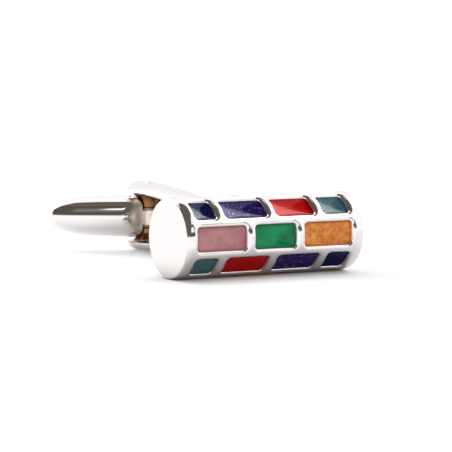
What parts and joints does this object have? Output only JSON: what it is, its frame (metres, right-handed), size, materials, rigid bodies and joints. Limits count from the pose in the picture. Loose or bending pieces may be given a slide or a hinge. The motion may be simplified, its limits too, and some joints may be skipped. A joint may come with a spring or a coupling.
{
  "type": "cufflink",
  "caption": "Cufflink with a round bar of coloured enamel cells as its face, a forked post and a bullet toggle that swivels in line with the post to pass the buttonholes.",
  "frame": {"origin": "on the back of the barrel, where the axis of the post leaves it", "axes": "+Y along the post, away from the barrel; +X along the barrel; +Z along the toggle's pivot, up when the cufflink lies on its barrel and on the tip of its lower leg"},
  "size_m": [0.02, 0.0323, 0.008],
  "materials": {
    "plated_metal": "brass casting, plated in bright white metal and mirror polished",
    "pin_metal": "pin stock, peened and polished off with the legs",
    "spring_steel": "thin sprung steel, bright",
    "mauve_enamel": "translucent pink enamel, glossy, mottled",
    "green_enamel": "translucent green enamel, glossy, mottled",
    "orange_enamel": "pearly orange enamel, glossy",
    "cobalt_enamel": "dark cobalt blue enamel, glossy",
    "purple_enamel": "purple enamel with fine glitter, glossy",
    "red_enamel": "bright red enamel, glossy",
    "teal_enamel": "pearly grey-blue enamel, glossy",
    "navy_enamel": "navy blue enamel, glossy"
  },
  "bodies": {
    "head": {"barrel": "plated_metal", "post": "plated_metal", "pivot_pin": "pin_metal", "upper_spring_washer": "spring_steel", "lower_spring_washer": "spring_steel", "enamel_front_1": "mauve_enamel", "enamel_front_2": "green_enamel", "enamel_front_3": "orange_enamel", "enamel_upper_front_1": "cobalt_enamel", "enamel_upper_front_2": "purple_enamel", "enamel_upper_front_3": "red_enamel", "enamel_upper_front_4": "teal_enamel", "enamel_top_1": "orange_enamel", "enamel_top_2": "teal_enamel", "enamel_top_3": "green_enamel", "enamel_upper_back_1": "red_enamel", "enamel_upper_back_2": "navy_enamel", "enamel_upper_back_3": "mauve_enamel", "enamel_upper_back_4": "purple_enamel", "enamel_lower_front_1": "teal_enamel", "enamel_lower_front_2": "red_enamel", "enamel_lower_front_3": "purple_enamel", "enamel_lower_front_4": "navy_enamel", "enamel_bottom_1": "purple_enamel", "enamel_bottom_2": "orange_enamel", "enamel_bottom_3": "cobalt_enamel", "enamel_lower_back_1": "green_enamel", "enamel_lower_back_2": "mauve_enamel", "enamel_lower_back_3": "red_enamel", "enamel_lower_back_4": "teal_enamel"},
    "toggle": {"toggle": "plated_metal"}
  },
  "joints": [
    {"name": "toggle_swing", "type": "hinge", "parent": "head", "child": "toggle", "pos_m": [0, 0.018, 0], "axis": [0, 0, 1], "continuous": true}
  ]
}
